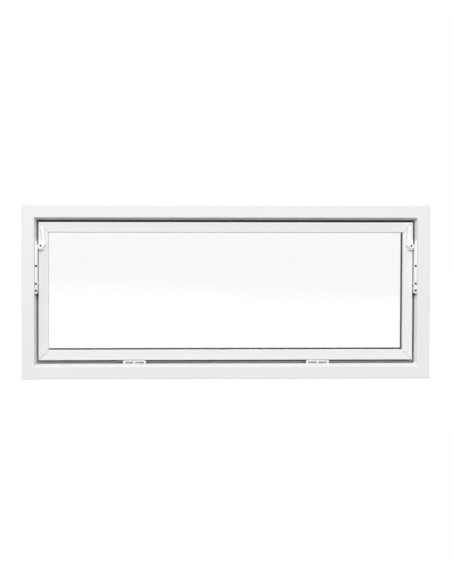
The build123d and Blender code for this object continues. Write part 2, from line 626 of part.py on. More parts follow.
def build_nodes():
    """Every piece of the window, by the name of its node."""
    nodes = {}
    frame_names = {"bottom": "sill", "top": "head", "left": "left_jamb", "right": "right_jamb"}
    sash_names = {"bottom": "bottom_rail", "top": "top_rail", "left": "left_stile", "right": "right_stile"}
    frame_places = four_sides(FRAME_WIDTH, FRAME_HEIGHT, 0)
    sash_places = four_sides(2 * SASH_HALF_WIDTH, SASH_HEIGHT, SASH_BOTTOM)

    # Hardware first, because its screws drill the lengths that they go into
    frame_seats, sash_seats = [], []
    for side, center in (("left", -HINGE_SPACING / 2), ("right", HINGE_SPACING / 2)):
        frame_leaf, sash_leaf, pin, on_frame, on_sash = hinge_pieces(center)
        nodes[f"{side}_hinge_frame_leaf"] = frame_leaf
        nodes[f"{side}_hinge_sash_leaf"] = sash_leaf
        nodes[f"{side}_hinge_pin"] = pin
        frame_seats += on_frame
        sash_seats += on_sash
    plate, plate_seats = stay_plate()
    bracket, bracket_seats = stay_bracket()
    right_pieces = {
        "stay_plate": plate,
        "stay_buffer": stay_buffer(),
        "stay_slide_stud": slide_stud(),
        "stay_arm": stay_arm(),
        "stay_pivot_pin": stay_pin(),
        "stay_bracket": bracket,
        "crank_lever": crank_lever(),
        "crank_spindle": crank_spindle(),
    }
    for name, piece in right_pieces.items():
        nodes[f"right_{name}"] = piece
        nodes[f"left_{name}"] = mirrored(piece)
    leaf_screw, leaf_hole = screw(LEAF_SCREW_LENGTH), screw_hole(LEAF_SCREW_LENGTH)
    nodes["hinge_frame_screws"] = Compound(children=[seat * leaf_screw for seat in frame_seats])
    nodes["hinge_sash_screws"] = Compound(children=[seat * leaf_screw for seat in sash_seats])
    plate_screws = [seat * screw(PLATE_SCREW_LENGTH) for seat in plate_seats]
    bracket_screws = [seat * screw(BRACKET_SCREW_LENGTH) for seat in bracket_seats]
    for name, screws in (("stay_plate_screws", plate_screws), ("stay_bracket_screws", bracket_screws)):
        nodes[name] = Compound(children=screws + [mirrored(one) for one in screws])
    plate_holes = [seat * screw_hole(PLATE_SCREW_LENGTH) for seat in plate_seats]
    bracket_holes = [seat * screw_hole(BRACKET_SCREW_LENGTH) for seat in bracket_seats]
    frame_holes = {
        "bottom": [seat * leaf_hole for seat in frame_seats] + drain_slots(),
        "top": [],
        "right": plate_holes + fixing_holes(),
        "left": [mirrored(hole) for hole in plate_holes] + fixing_holes(),
    }
    sash_holes = {
        "bottom": [seat * leaf_hole for seat in sash_seats],
        "top": [],
        "right": bracket_holes,
        "left": [mirrored(hole) for hole in bracket_holes],
    }

    # Frame and sash lengths with their steel, and the beads
    frame_steel_back = FRAME_SPLIT_DEPTH - FRAME_WALL - STEEL_CLEARANCE
    frame_steel_low = FRAME_WALL + STEEL_CLEARANCE
    frame_steel = tube_section(
        (frame_steel_back - FRAME_STEEL_DEPTH, frame_steel_back),
        (frame_steel_low, frame_steel_low + FRAME_STEEL_REACH),
    )
    sash_steel = tube_section(
        (GASKET_DEPTH + STEEL_CLEARANCE, SASH_BACK_DEPTH - SASH_WALL - STEEL_CLEARANCE),
        (SASH_WALL + STEEL_CLEARANCE, GLAZING_FLOOR - SASH_WALL - STEEL_CLEARANCE),
    )
    for side in frame_names:
        length = side_length(side, FRAME_WIDTH, FRAME_HEIGHT)
        member = frame_places[side] * mitred_length(frame_section(), length, REBATE + LIP_REACH)
        nodes[f"frame_{frame_names[side]}"] = without(member, frame_holes[side])
        steel_length = length - 2 * (REBATE + STEEL_END_GAP)
        nodes[f"frame_steel_{side}"] = frame_places[side] * square_length(frame_steel, steel_length)
        length = side_length(side, 2 * SASH_HALF_WIDTH, SASH_HEIGHT)
        member = sash_places[side] * mitred_length(sash_section(), length, SASH_SIGHT_LINE)
        nodes[f"sash_{sash_names[side]}"] = without(member, sash_holes[side] + weld_grooves())
        steel_length = length - 2 * (GLAZING_FLOOR + STEEL_END_GAP)
        steel = sash_places[side] * square_length(sash_steel, steel_length)
        nodes[f"sash_steel_{side}"] = without(steel, sash_holes[side])
        bead = mitred_length(bead_section(), length, SASH_SIGHT_LINE)
        nodes[f"glazing_bead_{side}"] = sash_places[side] * bead

    # Glass, gaskets and seals
    nodes["inner_pane"] = pane(GLASS_DEPTH)
    nodes["outer_pane"] = pane(OUTER_PANE_DEPTH)
    cavity = (CAVITY_START_DEPTH, OUTER_PANE_DEPTH)
    nodes["edge_sealant"] = ring(GLASS_EDGE, GLASS_EDGE + SEALANT_REACH, cavity)
    nodes["spacer_bar"] = ring(GLASS_EDGE + SEALANT_REACH, SASH_SIGHT_LINE, cavity)
    gasket_start = SASH_SIGHT_LINE - GASKET_COVER
    nodes["front_glazing_gasket"] = ring(gasket_start, SASH_SIGHT_LINE, (GASKET_DEPTH, GLASS_DEPTH))
    nodes["rear_glazing_gasket"] = ring(gasket_start, SASH_SIGHT_LINE, (REAR_GASKET_START_DEPTH, BEAD_DEPTH))
    nodes["frame_seal"] = frame_seal()
    nodes["setting_blocks"] = Compound(children=setting_blocks())
    return nodes


os.makedirs("parts", exist_ok=True)
for node_name, node_shape in build_nodes().items():
    export_step(node_shape, f"parts/{node_name}.step")
print(f"stay arm turns {arm_turn():.4f} degrees for {TILT_LIMIT} degrees of tilt")
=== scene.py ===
"""Dress a white plastic window whose sash hangs on bottom hinges and tilts towards the room.

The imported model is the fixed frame: every piece made here takes its place from that frame's nodes.
Lengths are in metres, +X is to the right seen from the room, +Y leads out of the room and +Z is up.
"""

from __future__ import annotations

import json
import logging
import math
from dataclasses import dataclass, field
from enum import Enum
from typing import Any, Iterable

import bmesh
import bpy
from mathutils import Matrix, Vector

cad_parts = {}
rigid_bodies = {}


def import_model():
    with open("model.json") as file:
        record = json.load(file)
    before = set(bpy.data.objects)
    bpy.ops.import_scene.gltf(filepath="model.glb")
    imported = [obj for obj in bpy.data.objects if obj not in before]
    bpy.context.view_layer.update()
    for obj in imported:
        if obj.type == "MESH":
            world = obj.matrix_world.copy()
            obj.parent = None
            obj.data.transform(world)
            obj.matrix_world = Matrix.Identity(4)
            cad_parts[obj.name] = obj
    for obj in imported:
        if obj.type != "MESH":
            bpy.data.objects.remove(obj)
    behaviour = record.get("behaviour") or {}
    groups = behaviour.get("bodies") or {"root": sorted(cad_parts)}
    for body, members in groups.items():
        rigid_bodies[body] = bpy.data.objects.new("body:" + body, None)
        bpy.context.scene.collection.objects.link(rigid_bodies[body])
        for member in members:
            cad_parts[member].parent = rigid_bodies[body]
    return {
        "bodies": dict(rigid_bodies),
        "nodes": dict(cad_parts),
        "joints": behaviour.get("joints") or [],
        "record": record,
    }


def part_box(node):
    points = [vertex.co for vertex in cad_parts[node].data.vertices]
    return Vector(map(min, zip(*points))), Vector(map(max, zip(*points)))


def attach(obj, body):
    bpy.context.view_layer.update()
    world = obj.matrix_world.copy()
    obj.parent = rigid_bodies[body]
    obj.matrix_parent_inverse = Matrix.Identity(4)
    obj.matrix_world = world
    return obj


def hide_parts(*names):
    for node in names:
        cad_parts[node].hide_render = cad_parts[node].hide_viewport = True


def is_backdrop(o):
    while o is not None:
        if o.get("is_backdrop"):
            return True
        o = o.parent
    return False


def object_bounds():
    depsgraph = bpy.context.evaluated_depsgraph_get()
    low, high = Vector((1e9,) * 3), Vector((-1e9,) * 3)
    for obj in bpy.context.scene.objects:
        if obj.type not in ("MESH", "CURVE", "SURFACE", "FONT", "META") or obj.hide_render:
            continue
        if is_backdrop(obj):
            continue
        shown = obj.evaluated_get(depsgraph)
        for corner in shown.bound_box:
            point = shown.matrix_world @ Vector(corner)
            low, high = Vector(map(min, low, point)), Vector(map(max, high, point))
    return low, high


LOG = logging.getLogger("window")
MM = 0.001
HANDS = ("left", "right")
SIDES = ("bottom", "top", "left", "right")
# Vertices closer than this are one vertex, and an edge is met within the tolerance
MERGE_DISTANCE = 0.001 * MM
EDGE_TOLERANCE = 0.1 * MM
# Colour sockets of a Mix node
MIX_FIRST, MIX_SECOND, MIX_RESULT = 6, 7, 2
# Range that most of a noise texture lies in
NOISE_LOW, NOISE_HIGH = 0.3, 0.7


class Grain(Enum):
    """How a surface was made, which decides the fine relief that it shows."""

    EXTRUDED_ALONG_X = "extruded along X"
    EXTRUDED_ALONG_Z = "extruded along Z"
    POWDER_COATED = "powder coated"
    ROLLED = "rolled and plated"
    MOULDED = "moulded"


def linear(hex_colour: str) -> tuple[float, float, float, float]:
    """Turn an sRGB hex colour into linear RGBA.

    Args:
        hex_colour: Six hex digits after a hash.

    Returns:
        Linear red, green and blue, and an alpha of 1.
    """
    channels = [int(hex_colour[i : i + 2], 16) / 255 for i in (1, 3, 5)]
    bent = [c / 12.92 if c <= 0.04045 else ((c + 0.055) / 1.055) ** 2.4 for c in channels]
    return (bent[0], bent[1], bent[2], 1.0)


def add_node(
    tree: bpy.types.NodeTree,
    kind: str,
    inputs: dict[Any, Any] | None = None,
    links: dict[Any, bpy.types.NodeSocket] | None = None,
    **settings: Any,
) -> bpy.types.Node:
    """Add one node with its settings, input values and incoming links.

    Args:
        tree: Node tree that gets the node.
        kind: Blender's type name of the node.
        inputs: Values by input name or index.
        links: Output sockets to link, by input name or index.
        settings: Properties of the node itself.

    Returns:
        The new node.
    """
    node = tree.nodes.new(kind)
    for name, value in settings.items():
        setattr(node, name, value)
    for name, value in (inputs or {}).items():
        node.inputs[name].default_value = value
    for name, socket in (links or {}).items():
        tree.links.new(socket, node.inputs[name])
    return node


@dataclass(frozen=True)
class Finish:
    """One surface finish: what it is made of, how it was made and what that gives the eye.

    Draw lines are draw_ratio times as long as they are wide, and rolling marks roll_ratio times.
    Faint patches of mottle_mm lie between the colour and the shade.
    """

    name: str
    colour: str
    shade: str
    roughness: tuple[float, float]
    grain: Grain
    grain_mm: float
    relief_mm: float
    metallic: float = 0.0
    ior: float = 1.5
    draw_ratio: float = 120.0
    roll_ratio: float = 15.0
    mottle_mm: float = 71.43
    bump_strength: float = 0.6

    def stretch(self) -> tuple[float, float, float]:
        """Work out how fine the relief is along each axis.

        Returns:
            Scale along X, Y and Z, drawn out along an extruded length or a rolled strip.
        """
        per_metre = 1 / (self.grain_mm * MM)
        drawn_out = per_metre / self.draw_ratio
        if self.grain is Grain.EXTRUDED_ALONG_X:
            return (drawn_out, per_metre, per_metre)
        if self.grain is Grain.EXTRUDED_ALONG_Z:
            return (per_metre, per_metre, drawn_out)
        if self.grain is Grain.ROLLED:
            return (per_metre, per_metre, per_metre / self.roll_ratio)
        return (per_metre, per_metre, per_metre)

    def build(self) -> bpy.types.Material:
        """Make the node material.

        Returns:
            Material with colour, gloss and relief from its own nodes.
        """
        material = bpy.data.materials.new(self.name)
        material.use_nodes = True
        tree = material.node_tree
        shader = tree.nodes["Principled BSDF"]
        shader.inputs["Metallic"].default_value = self.metallic
        if not self.metallic:
            shader.inputs["IOR"].default_value = self.ior
        place = add_node(tree, "ShaderNodeTexCoord").outputs["Object"]
        mottle = add_node(
            tree,
            "ShaderNodeTexNoise",
            {"Scale": 1 / (self.mottle_mm * MM), "Detail": 3.0},
            {"Vector": place},
        )
        colour = add_node(
            tree,
            "ShaderNodeMix",
            {MIX_FIRST: linear(self.shade), MIX_SECOND: linear(self.colour)},
            {"Factor": mottle.outputs["Fac"]},
            data_type="RGBA",
        )
        tree.links.new(colour.outputs[MIX_RESULT], shader.inputs["Base Color"])
        mapping = add_node(tree, "ShaderNodeMapping", {"Scale": self.stretch()}, {"Vector": place})
        fine = add_node(
            tree, "ShaderNodeTexNoise", {"Scale": 1.0, "Detail": 2.0}, {"Vector": mapping.outputs["Vector"]}
        )
        smoothest, roughest = self.roughness
        gloss = add_node(
            tree,
            "ShaderNodeMapRange",
            {"From Min": NOISE_LOW, "From Max": NOISE_HIGH, "To Min": smoothest, "To Max": roughest},
            {"Value": fine.outputs["Fac"]},
        )
        tree.links.new(gloss.outputs["Result"], shader.inputs["Roughness"])
        bump = add_node(
            tree,
            "ShaderNodeBump",
            {"Strength": self.bump_strength, "Distance": self.relief_mm * MM},
            {"Height": fine.outputs["Fac"]},
        )
        tree.links.new(bump.outputs["Normal"], shader.inputs["Normal"])
        return material


@dataclass(frozen=True)
class ClearGlass:
    """Float glass: flat and clear, with a painted reflection that greys its upper half a little.

    The painted reflection begins and is full at heights in metres,
    and its edge falls by reflection_slope to the right.
    """

    name: str = "float_glass"
    unreflected: str = "#FFFFFF"
    # Painted reflection: the upper half's slightly grey colour stands for a reflection of the room
    painted_reflection: str = "#FAFAFA"
    reflection_starts: float = 0.222
    reflection_full: float = 0.296
    reflection_slope: float = 0.045
    edge_wander_mm: float = 90.0
    edge_wander: float = 0.03
    ior: float = 1.5

    def build(self) -> bpy.types.Material:
        """Make the glass material.

        Returns:
            Clear material whose painted reflection begins at a slightly sloping, uneven edge.
        """
        material = bpy.data.materials.new(self.name)
        material.use_nodes = True
        tree = material.node_tree
        shader = tree.nodes["Principled BSDF"]
        place = add_node(tree, "ShaderNodeTexCoord").outputs["Object"]
        axes = add_node(tree, "ShaderNodeSeparateXYZ", links={"Vector": place})
        height = add_node(
            tree,
            "ShaderNodeMath",
            {1: self.reflection_slope},
            {0: axes.outputs["X"], 2: axes.outputs["Z"]},
            operation="MULTIPLY_ADD",
        )
        edge_noise = add_node(
            tree,
            "ShaderNodeTexNoise",
            {"Scale": 1 / (self.edge_wander_mm * MM), "Detail": 2.0},
            {"Vector": place},
        )
        wander = add_node(
            tree,
            "ShaderNodeMath",
            {1: self.edge_wander},
            {0: edge_noise.outputs["Fac"], 2: height.outputs[0]},
            operation="MULTIPLY_ADD",
        )
        share = add_node(
            tree,
            "ShaderNodeMapRange",
            {"From Min": self.reflection_starts, "From Max": self.reflection_full},
            {"Value": wander.outputs[0]},
        )
        # Painted reflection: the glass turns a little grey above the uneven edge
        reflection_tint = add_node(
            tree,
            "ShaderNodeMix",
            {MIX_FIRST: linear(self.unreflected), MIX_SECOND: linear(self.painted_reflection)},
            {"Factor": share.outputs["Result"]},
            data_type="RGBA",
        )
        tree.links.new(reflection_tint.outputs[MIX_RESULT], shader.inputs["Base Color"])
        shader.inputs["Roughness"].default_value = 0.0
        shader.inputs["IOR"].default_value = self.ior
        shader.inputs["Transmission Weight"].default_value = 1.0
        return material


@dataclass
class Palette:
    """Every material of the window, built once."""

    # Extruded rigid PVC: bright white, satin, with faint draw lines along the length
    pvc_across: Finish = Finish(
        "white_pvc_extruded_x", "#EFEFEE", "#ECECEB", (0.3, 0.4), Grain.EXTRUDED_ALONG_X, 1.2, 0.012
    )
    pvc_upright: Finish = Finish(
        "white_pvc_extruded_z", "#EFEFEE", "#ECECEB", (0.3, 0.4), Grain.EXTRUDED_ALONG_Z, 1.2, 0.012
    )
    # Weld line where two mitred lengths were fused and the bead was scraped off; its grey is partly dirt
    # left in the weld and partly painted shade for the groove's shadow
    weld: Finish = Finish("scraped_weld_line", "#8F8F8D", "#868684", (0.5, 0.6), Grain.MOULDED, 0.8, 0.03)
    # Zinc hardware under white powder: softer gloss and a fine orange peel
    powder: Finish = Finish(
        "white_powder_coat", "#FDFDFC", "#F9F9F8", (0.34, 0.48), Grain.POWDER_COATED, 0.7, 0.03
    )
    # The same powder on the hinge leaves that turn with the sash, with a duller gloss; its darker grey is
    # painted shade for the gap they sit in under the sash
    shaded_powder: Finish = Finish(
        "dull_powder_coat", "#D9D9D8", "#D2D2D1", (0.5, 0.62), Grain.POWDER_COATED, 0.7, 0.03
    )
    # Zinc plated steel strip: bright grey with fine rolling marks
    zinc: Finish = Finish(
        "zinc_plated_steel", "#C9CBCC", "#B7B9BB", (0.28, 0.45), Grain.ROLLED, 0.5, 0.01, metallic=1.0
    )
    # Hot-dip galvanised tube: duller and mottled
    galvanised: Finish = Finish(
        "galvanised_steel", "#B9BCBE", "#9EA2A5", (0.38, 0.6), Grain.MOULDED, 6.0, 0.02, metallic=1.0
    )
    # Passivated screws: nearly black, with a metal sheen
    screw: Finish = Finish(
        "dark_passivated_steel", "#3B3C3E", "#2C2D2F", (0.35, 0.5), Grain.ROLLED, 0.4, 0.01, metallic=0.85
    )
    # Synthetic rubber seals: dark, matt and slightly dusty
    rubber: Finish = Finish(
        "black_seal_rubber", "#2A2B2C", "#353637", (0.6, 0.8), Grain.MOULDED, 0.8, 0.03
    )
    # Edge sealant of the insulating glass: poured, dull and dark
    sealant: Finish = Finish("edge_sealant", "#303133", "#28292B", (0.65, 0.8), Grain.MOULDED, 2.5, 0.08)
    # Black anodised spacer strip: near-black with a soft satin skin
    spacer: Finish = Finish(
        "black_anodised_spacer", "#222325", "#1C1D1F", (0.5, 0.65), Grain.ROLLED, 0.6, 0.01
    )
    # Moulded polypropylene packers: flat blue
    packer: Finish = Finish("moulded_packer", "#4F6E9C", "#47648F", (0.45, 0.6), Grain.MOULDED, 0.9, 0.04)
    glass: ClearGlass = ClearGlass()
    made: dict[str, bpy.types.Material] = field(default_factory=dict)

    def get(self, finish: Finish | ClearGlass) -> bpy.types.Material:
        """Give a finish's material, making it the first time.

        Args:
            finish: One of the palette's finishes.

        Returns:
            Its material.
        """
        if finish.name not in self.made:
            self.made[finish.name] = finish.build()
        return self.made[finish.name]

    def dress(self, piece: bpy.types.Object, finish: Finish | ClearGlass) -> None:
        """Give a piece one finish in place of what it has, and report it.

        Args:
            piece: CAD node or new piece.
            finish: One of the palette's finishes.
        """
        piece.data.materials.clear()
        piece.data.materials.append(self.get(finish))
        LOG.info("%s in %s", piece.name, finish.name)


def new_piece(name: str, mesh: bpy.types.Mesh, body: str, slot: str, *nodes: str) -> bpy.types.Object:
    """Add a finished mesh to the scene, riding on a body and standing for CAD nodes.

    Args:
        name: Name of the piece.
        mesh: Mesh with its place in its vertices.
        body: Body that carries the piece.
        slot: Material slot of the record; not used.
        nodes: Nodes that the piece replaces.

    Returns:
        The new object.
    """
    piece = bpy.data.objects.new(name, mesh)
    bpy.context.scene.collection.objects.link(piece)
    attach(piece, body)
    if nodes:
        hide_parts(*nodes)
    return piece


def islands(node: bpy.types.Object) -> list[list[Vector]]:
    """Group a node's vertices by separate solid.

    Args:
        node: CAD node that holds several solids.

    Returns:
        One list of vertex places for each solid.
    """
    shape = bmesh.new()
    shape.from_mesh(node.data)
    bmesh.ops.remove_doubles(shape, verts=shape.verts, dist=MERGE_DISTANCE)
    left = set(shape.verts)
    groups = []
    while left:
        start = left.pop()
        group, queue = [start.co.copy()], [start]
        while queue:
            for edge in queue.pop().link_edges:
                for vertex in edge.verts:
                    if vertex in left:
                        left.discard(vertex)
                        queue.append(vertex)
                        group.append(vertex.co.copy())
        groups.append(group)
    shape.free()
    return sorted(groups, key=lambda group: tuple(round(c, 4) for c in sum(group, Vector()) / len(group)))


@dataclass(frozen=True)
class Rectangle:
    """Upright rectangle that a ring follows, by its limits along X and Z."""

    left: float
    right: float
    bottom: float
    top: float

    def inside(self, left: float, right: float, bottom: float, top: float) -> Rectangle:
        """Give the rectangle that lies inside this one by a width on each side."""
        return Rectangle(self.left + left, self.right - right, self.bottom + bottom, self.top - top)

    def corners(self) -> list[tuple[float, float]]:
        """Give the corners as (X, Z), in order round the rectangle."""
        return [
            (self.left, self.bottom),
            (self.right, self.bottom),
            (self.right, self.top),
            (self.left, self.top),
        ]


def outer_edge(*nodes: str) -> Rectangle:
    """Find the outer edge of some nodes, seen from the room.

    Args:
        nodes: Names of the nodes.

    Returns:
        Upright rectangle round the box that holds them all.
    """
    boxes = [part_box(node) for node in nodes]
    low = [min(box[0][i] for box in boxes) for i in range(3)]
    high = [max(box[1][i] for box in boxes) for i in range(3)]
    return Rectangle(low[0], high[0], low[2], high[2])


def mitred_ring(
    name: str, profile: Iterable[tuple[float, float]], outer: Rectangle, inner: Rectangle
) -> bpy.types.Mesh:
    """Run a closed profile round a rectangle with mitred corners.

    Args:
        name: Name of the mesh.
        profile: Points as (share of the way from the outer to the inner edge, Y).
        outer: Outer edge of the ring.
        inner: Inner edge of the ring.

    Returns:
        Closed mesh with outward faces.
    """
    shape = bmesh.new()
    rings = []
    for share, y in profile:
        corners = []
        for (x, z), (inner_x, inner_z) in zip(outer.corners(), inner.corners()):
            corners.append(shape.verts.new((x + share * (inner_x - x), y, z + share * (inner_z - z))))
        rings.append(corners)
    for ring, following in zip(rings, rings[1:] + rings[:1]):
        for i in range(4):
            j = (i + 1) % 4
            shape.faces.new((ring[i], ring[j], following[j], following[i]))
    bmesh.ops.recalc_face_normals(shape, faces=shape.faces)
    mesh = bpy.data.meshes.new(name)
    shape.to_mesh(mesh)
    shape.free()
    return mesh


@dataclass(frozen=True)
class ScrewGroup:
    """One node of equal screws: where they point, how long they are and how they are finished."""

    node: str
    body: str
    outward: tuple[float, float, float]
    length: float
    finish: Finish
    slot: str


@dataclass
class ScrewSet:
    """Cross-recessed pan-head screws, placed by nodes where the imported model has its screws."""

    palette: Palette
    head_radius: float = 3.2 * MM
    head_height: float = 1.4 * MM
    shank_radius: float = 1.75 * MM
    recess_length: float = 3.6 * MM
    recess_width: float = 0.9 * MM
    recess_depth: float = 0.9 * MM
    # Shares of the head's radius and height: its flat middle, its rounded crown and its upright rim
    flat_share: float = 0.6
    crown_share: float = 0.35
    rim_share: float = 0.35
    crown_steps: int = 6
    turns: int = 32

    def blank(self, length: float) -> bpy.types.Object:
        """Turn one screw without its recess, seated at the origin and pointing down.

        Args:
            length: Length of the shank below the seat.

        Returns:
            Helper object that the node tree copies.
        """
        outline = [(0.0, self.head_height)]
        for step in range(1, self.crown_steps + 1):
            angle = step / self.crown_steps * math.pi / 2
            reach = 1 - self.crown_share * (1 - math.sin(angle)) if step > 1 else self.flat_share
            rise = self.rim_share + (1 - self.rim_share) * math.cos(angle)
            outline.append((self.head_radius * reach, self.head_height * rise))
        outline += [(self.head_radius, 0.0), (self.shank_radius, 0.0)]
        outline += [(self.shank_radius, -length + self.shank_radius), (0.0, -length)]
        shape = bmesh.new()
        vertices = [shape.verts.new((x, 0.0, z)) for x, z in outline]
        edges = [shape.edges.new(pair) for pair in zip(vertices, vertices[1:])]
        bmesh.ops.spin(
            shape,
            geom=vertices + edges,
            cent=(0, 0, 0),
            axis=(0, 0, 1),
            angle=2 * math.pi,
            steps=self.turns,
        )
        bmesh.ops.remove_doubles(shape, verts=shape.verts, dist=MERGE_DISTANCE)
        bmesh.ops.recalc_face_normals(shape, faces=shape.faces)
        mesh = bpy.data.meshes.new("screw_blank")
        shape.to_mesh(mesh)
        shape.free()
        blank = bpy.data.objects.new("screw_blank", mesh)
        bpy.context.scene.collection.objects.link(blank)
        return blank

    def tree(self) -> bpy.types.GeometryNodeTree:
        """Build the node tree that cuts the cross recess and sets a screw on every seat.

        Returns:
            Tree with named inputs for the blank, the recess and the material.
        """
        tree = bpy.data.node_groups.new("pan_head_screws", "GeometryNodeTree")
        sockets = tree.interface.new_socket
        sockets("Seats", in_out="INPUT", socket_type="NodeSocketGeometry")
        sockets("Blank", in_out="INPUT", socket_type="NodeSocketObject")
        for name in ("Recess Length", "Recess Width", "Recess Depth", "Head Height"):
            sockets(name, in_out="INPUT", socket_type="NodeSocketFloat")
        sockets("Finish", in_out="INPUT", socket_type="NodeSocketMaterial")
        sockets("Screws", in_out="OUTPUT", socket_type="NodeSocketGeometry")
        given = add_node(tree, "NodeGroupInput").outputs
        blank = add_node(tree, "GeometryNodeObjectInfo", links={"Object": given["Blank"]})
        deep = add_node(tree, "ShaderNodeMath", {1: 2.0}, {0: given["Recess Depth"]}, operation="MULTIPLY")
        long_bar = add_node(
            tree,
            "ShaderNodeCombineXYZ",
            links={"X": given["Recess Length"], "Y": given["Recess Width"], "Z": deep.outputs[0]},
        )
        cross_bar = add_node(
            tree,
            "ShaderNodeCombineXYZ",
            links={"X": given["Recess Width"], "Y": given["Recess Length"], "Z": deep.outputs[0]},
        )
        bars = [
            add_node(tree, "GeometryNodeMeshCube", links={"Size": bar.outputs[0]}).outputs["Mesh"]
            for bar in (long_bar, cross_bar)
        ]
        lift = add_node(tree, "ShaderNodeCombineXYZ", links={"Z": given["Head Height"]})
        cut = add_node(
            tree,
            "GeometryNodeMeshBoolean",
            links={"Mesh 1": blank.outputs["Geometry"]},
            operation="DIFFERENCE",
            solver="MANIFOLD",
        )
        for bar in bars:
            raised = add_node(
                tree, "GeometryNodeTransform", links={"Geometry": bar, "Translation": lift.outputs[0]}
            )
            tree.links.new(raised.outputs["Geometry"], cut.inputs["Mesh 2"])
        axis = add_node(
            tree, "GeometryNodeInputNamedAttribute", {"Name": "seat_axis"}, data_type="FLOAT_VECTOR"
        )
        turn = add_node(
            tree, "FunctionNodeAlignRotationToVector", links={"Vector": axis.outputs["Attribute"]}, axis="Z"
        )
        points = add_node(tree, "GeometryNodeMeshToPoints", links={"Mesh": given["Seats"]})
        placed = add_node(
            tree,
            "GeometryNodeInstanceOnPoints",
            links={
                "Points": points.outputs["Points"],
                "Instance": cut.outputs["Mesh"],
                "Rotation": turn.outputs["Rotation"],
            },
        )
        real = add_node(
            tree, "GeometryNodeRealizeInstances", links={"Geometry": placed.outputs["Instances"]}
        )
        painted = add_node(
            tree,
            "GeometryNodeSetMaterial",
            links={"Geometry": real.outputs["Geometry"], "Material": given["Finish"]},
        )
        add_node(tree, "NodeGroupOutput", links={"Screws": painted.outputs["Geometry"]})
        return tree

    def seats(self, node: bpy.types.Object, outward: Vector) -> bpy.types.Mesh:
        """Find the seat of each screw's head in a node.

        Args:
            node: CAD node with one solid per screw.
            outward: Direction out of the heads.

        Returns:
            Mesh of points with the attribute seat_axis.
        """
        across = outward.orthogonal().normalized()
        places = []
        for group in islands(node):
            seat = outward * (max(point.dot(outward) for point in group) - self.head_height)
            for side in (across, outward.cross(across)):
                spread = [point.dot(side) for point in group]
                seat += side * (min(spread) + max(spread)) / 2
            places.append(seat)
        mesh = bpy.data.meshes.new("screw_seats")
        mesh.from_pydata(places, [], [])
        attribute = mesh.attributes.new("seat_axis", "FLOAT_VECTOR", "POINT")
        attribute.data.foreach_set("vector", list(outward) * len(places))
        return mesh

    def place(self, group: ScrewGroup, frame: dict[str, Any], tree: bpy.types.GeometryNodeTree) -> None:
        """Replace one node of screws by screws with cross recesses.

        Args:
            group: Which screws, and how they are made.
            frame: Loaded frame.
            tree: Node tree that makes the screws.
        """
        seats = self.seats(frame["nodes"][group.node], Vector(group.outward))
        holder = bpy.data.objects.new("screw_holder", seats)
        bpy.context.scene.collection.objects.link(holder)
        blank = self.blank(group.length)
        modifier = holder.modifiers.new("screws", "NODES")
        modifier.node_group = tree
        values = {
            "Blank": blank,
            "Recess Length": self.recess_length,
            "Recess Width": self.recess_width,
            "Recess Depth": self.recess_depth,
            "Head Height": self.head_height,
            "Finish": self.palette.get(group.finish),
        }
        for item in tree.interface.items_tree:
            if item.in_out == "INPUT" and item.name in values:
                modifier[item.identifier] = values[item.name]
        graph = bpy.context.evaluated_depsgraph_get()
        mesh = bpy.data.meshes.new_from_object(holder.evaluated_get(graph))
        mesh.name = f"{group.node}_cross_head"
        for helper in (holder, blank):
            bpy.data.objects.remove(helper)
        piece = new_piece(mesh.name, mesh, group.body, group.slot, group.node)
        self.palette.dress(piece, group.finish)


@dataclass
class Profiles:
    """Plastic lengths of frame and sash, their steel and the glazing beads."""

    palette: Palette
    shoulder: float = 3.0 * MM
    lip_slope: float = 1.5 * MM
    weld_width: float = 0.8 * MM
    weld_sunk: float = 0.15 * MM

    def dress(self, frame: dict[str, Any]) -> None:
        """Give every plastic and steel length its finish, with the draw lines along it.

        Args:
            frame: Loaded frame.
        """
        nodes = frame["nodes"]
        across = ("frame_sill", "frame_head", "sash_bottom_rail", "sash_top_rail")
        upright = ("frame_left_jamb", "frame_right_jamb", "sash_left_stile", "sash_right_stile")
        for name in across + ("glazing_bead_bottom", "glazing_bead_top"):
            self.palette.dress(nodes[name], self.palette.pvc_across)
        for name in upright + ("glazing_bead_left", "glazing_bead_right"):
            self.palette.dress(nodes[name], self.palette.pvc_upright)
        for side in SIDES:
            for part in ("frame", "sash"):
                self.palette.dress(nodes[f"{part}_steel_{side}"], self.palette.galvanised)
        self.weld_lines()

    def weld_lines(self) -> None:
        """Lay a fine grey weld line in the groove across each of the sash's corners, its grey partly dirt
        and partly painted shade.
        """
        edge = outer_edge("sash_bottom_rail", "sash_top_rail")
        low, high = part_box("sash_bottom_rail")
        front = low.y + self.weld_sunk
        reach = (self.shoulder, high.z - low.z - self.lip_slope)
        middle = Vector(((edge.left + edge.right) / 2, 0, (edge.bottom + edge.top) / 2))
        shape = bmesh.new()
        for x, z in edge.corners():
            along = Vector((math.copysign(1, middle.x - x), 0, math.copysign(1, middle.z - z)))
            across = Vector((along.z, 0, -along.x)).normalized() * self.weld_width / 2
            rims = []
            for y in (front, front + self.weld_sunk):
                rim = []
                for distance, side in ((reach[0], -1), (reach[0], 1), (reach[1], 1), (reach[1], -1)):
                    rim.append(shape.verts.new(Vector((x, y, z)) + along * distance + across * side))
                shape.faces.new(rim)
                rims.append(rim)
            for i in range(4):
                j = (i + 1) % 4
                shape.faces.new((rims[0][i], rims[0][j], rims[1][j], rims[1][i]))
        bmesh.ops.recalc_face_normals(shape, faces=shape.faces)
        mesh = bpy.data.meshes.new("sash_weld_lines")
        shape.to_mesh(mesh)
        shape.free()
        self.palette.dress(new_piece("sash_weld_lines", mesh, "sash", "white_profile"), self.palette.weld)


